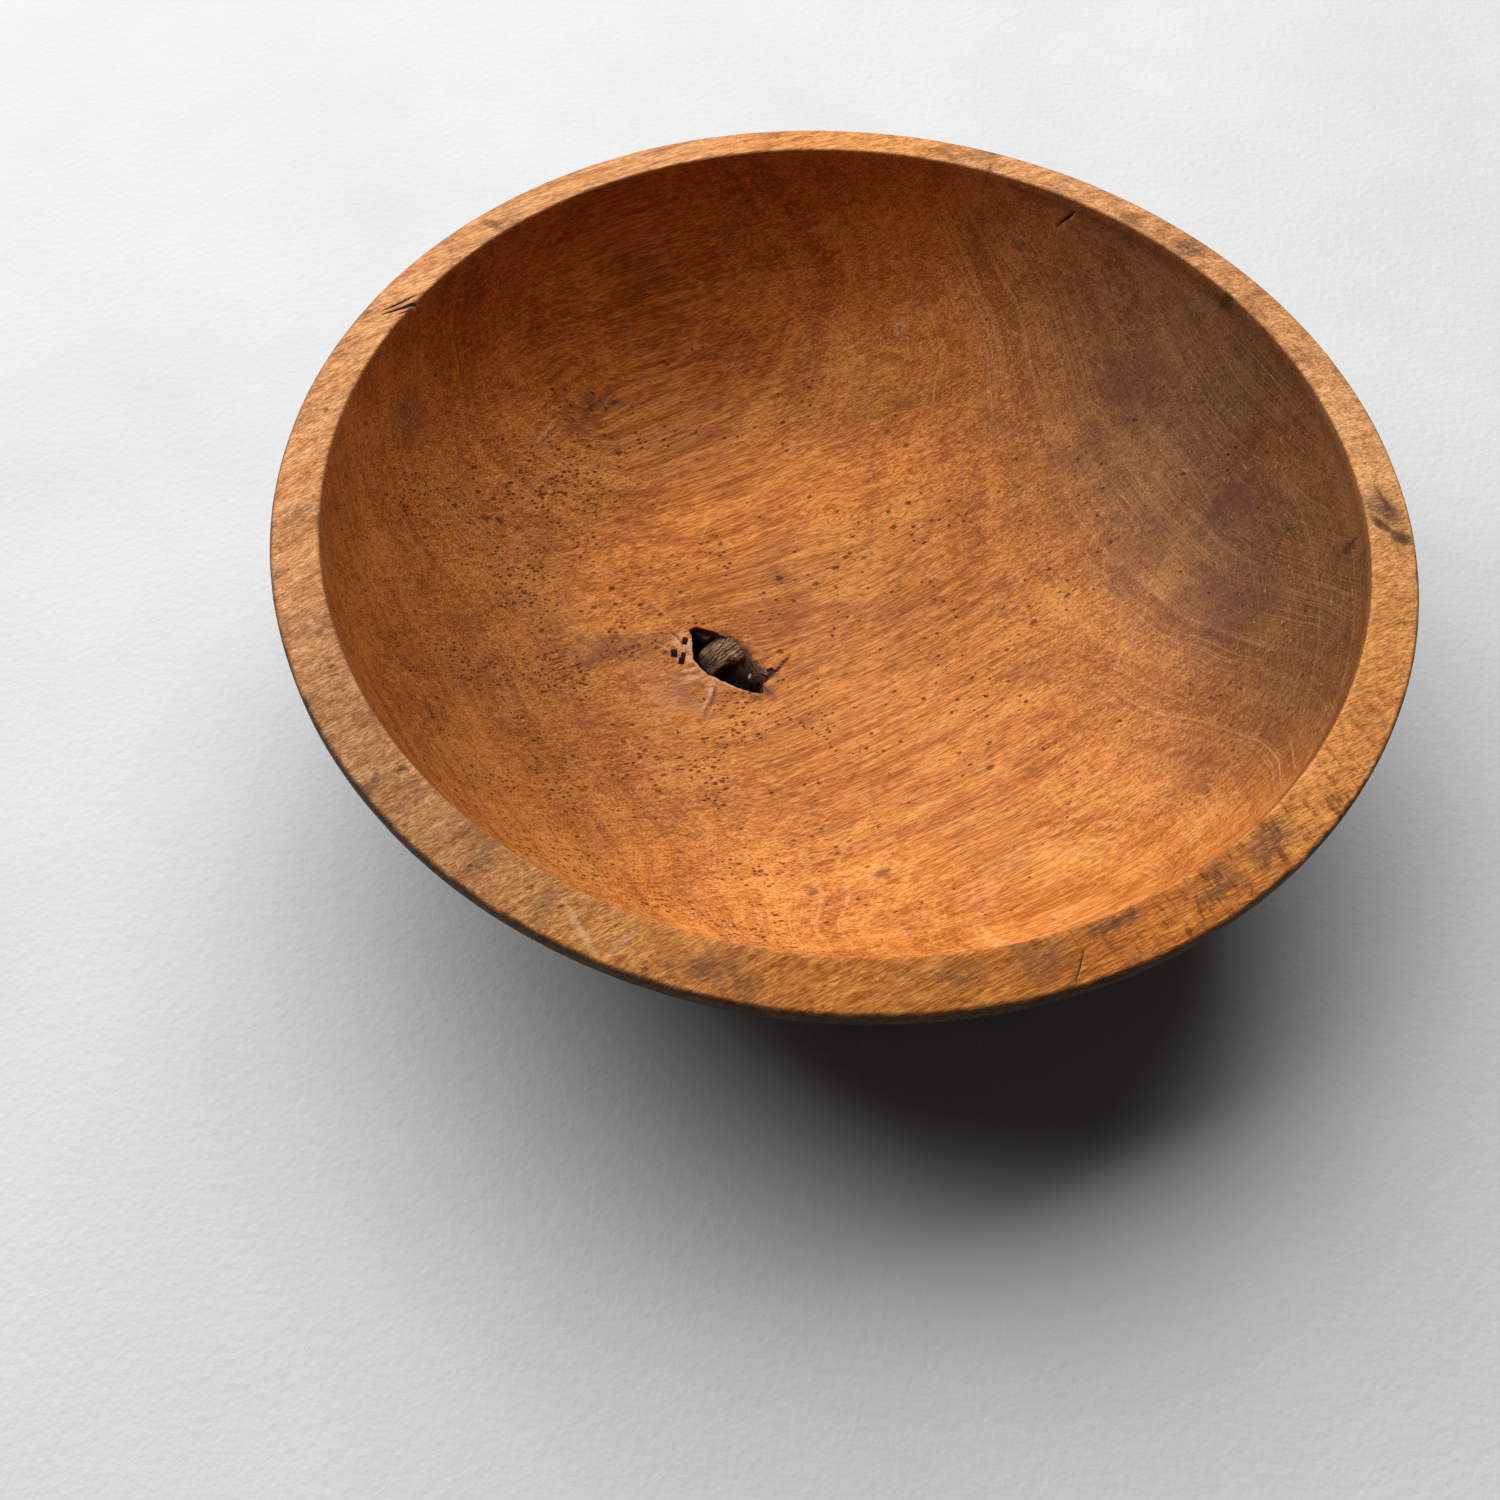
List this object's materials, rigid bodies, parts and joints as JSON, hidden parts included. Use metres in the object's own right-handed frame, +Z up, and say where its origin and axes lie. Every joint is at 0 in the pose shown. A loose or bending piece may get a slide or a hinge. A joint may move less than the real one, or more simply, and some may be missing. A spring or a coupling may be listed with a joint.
{
  "type": "dough bowl",
  "caption": "Round turned wooden dough bowl with a wide flat rim, a deep hollow and a dead knot with bark in its floor.",
  "frame": {"origin": "centre of the flat foot's underside, on the bowl's turning axis, at table height", "axes": "+Z up along the turning axis, +Y away from the picture's viewer, +X to the viewer's right"},
  "size_m": [0.4569, 0.457, 0.127],
  "materials": {
    "bowl_wood": "old oiled satin",
    "knot_bark": "dry and rough",
    "knot_wood": "dry broken end grain"
  },
  "bodies": {
    "root": {"bowl": "bowl_wood", "knot_bark": "knot_bark", "knot_core": "knot_wood"}
  },
  "joints": []
}
